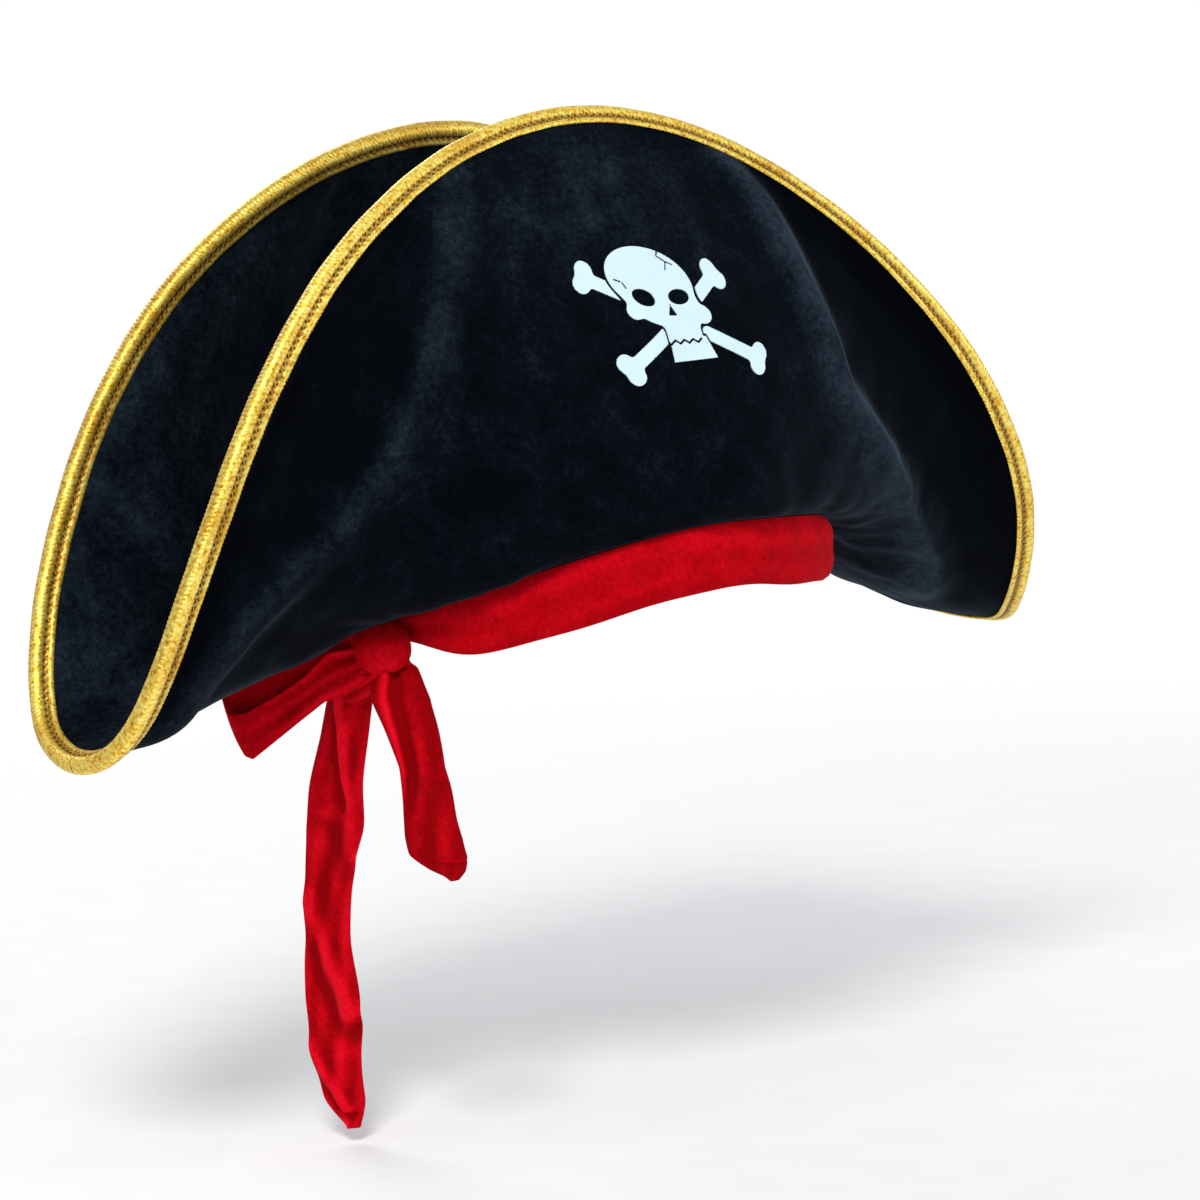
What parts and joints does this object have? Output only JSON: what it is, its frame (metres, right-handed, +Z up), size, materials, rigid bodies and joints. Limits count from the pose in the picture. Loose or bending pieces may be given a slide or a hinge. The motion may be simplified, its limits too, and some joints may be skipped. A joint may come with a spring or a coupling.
{
  "type": "pirate hat",
  "caption": "Costume pirate hat: soft crown, wired brim turned up front and back with gold edge binding, skull patch, and a red sash knotted at one side with hanging tails.",
  "frame": {"origin": "centre of the head opening, at the height of the brim's fold in front", "axes": "+X along the brim towards the wearer's left, +Z up out of the crown, the front faces -Y"},
  "size_m": [0.4809, 0.2172, 0.3975],
  "materials": {
    "black_velvet": "short-pile velvet, navy sheen",
    "stiffener_felt": "needled interlining",
    "gold_braid": "metallic lurex tape",
    "edge_wire": "drawn wire",
    "red_velvet": "short-pile crimson velvet",
    "lining_satin": "woven lining",
    "sweatband_cotton": "twill tape",
    "white_print": "heat-pressed felt transfer",
    "label_tape": "blank woven label"
  },
  "bodies": {
    "hat": {"back_brim_inner_cloth": "black_velvet", "back_brim_outer_cloth": "black_velvet", "back_brim_stiffener": "stiffener_felt", "care_label": "label_tape", "crown_lining_tip": "lining_satin", "crown_lining_wall": "lining_satin", "crown_tip": "black_velvet", "crown_wall": "black_velvet", "front_brim_inner_cloth": "black_velvet", "front_brim_outer_cloth": "black_velvet", "front_brim_stiffener": "stiffener_felt", "left_tip_binding": "gold_braid", "left_tip_wire": "edge_wire", "right_tip_binding": "gold_braid", "right_tip_wire": "edge_wire", "sash_band": "red_velvet", "sash_knot": "red_velvet", "sweatband": "sweatband_cotton"},
    "front_flap": {"front_flap_binding": "gold_braid", "front_flap_inner_cloth": "black_velvet", "front_flap_outer_cloth": "black_velvet", "front_flap_stiffener": "stiffener_felt", "front_flap_wire": "edge_wire", "skull_emblem": "white_print"},
    "back_flap": {"back_flap_binding": "gold_braid", "back_flap_inner_cloth": "black_velvet", "back_flap_outer_cloth": "black_velvet", "back_flap_stiffener": "stiffener_felt", "back_flap_wire": "edge_wire"},
    "sash_loop": {"sash_loop": "red_velvet"},
    "sash_tail_long": {"sash_tail_long": "red_velvet"},
    "sash_tail_short": {"sash_tail_short": "red_velvet"}
  },
  "joints": [
    {"name": "front_flap_fold", "type": "hinge", "parent": "hat", "child": "front_flap", "pos_m": [0, -0.1064, 0.0166], "axis": [1, 0, 0], "range_deg": [0, 15], "stiffness_Nm_per_rad": 0.1},
    {"name": "back_flap_fold", "type": "hinge", "parent": "hat", "child": "back_flap", "pos_m": [0, 0.1064, 0.0166], "axis": [-1, 0, 0], "range_deg": [0, 15], "stiffness_Nm_per_rad": 0.1},
    {"name": "sash_tail_long_swing", "type": "hinge", "parent": "hat", "child": "sash_tail_long", "pos_m": [-0.111, 0.0045, -0.055], "axis": [-0.4226, 0.9063, 0], "range_deg": [-4, 35]},
    {"name": "sash_tail_short_swing", "type": "hinge", "parent": "hat", "child": "sash_tail_short", "pos_m": [-0.111, -0.0265, -0.055], "axis": [-0.4226, 0.9063, 0], "range_deg": [-10, 50]},
    {"name": "sash_loop_flop", "type": "hinge", "parent": "hat", "child": "sash_loop", "pos_m": [-0.1205, -0.0058, -0.0511], "axis": [-0.6371, -0.7707, 0], "range_deg": [0, 15], "stiffness_Nm_per_rad": 0.02}
  ]
}
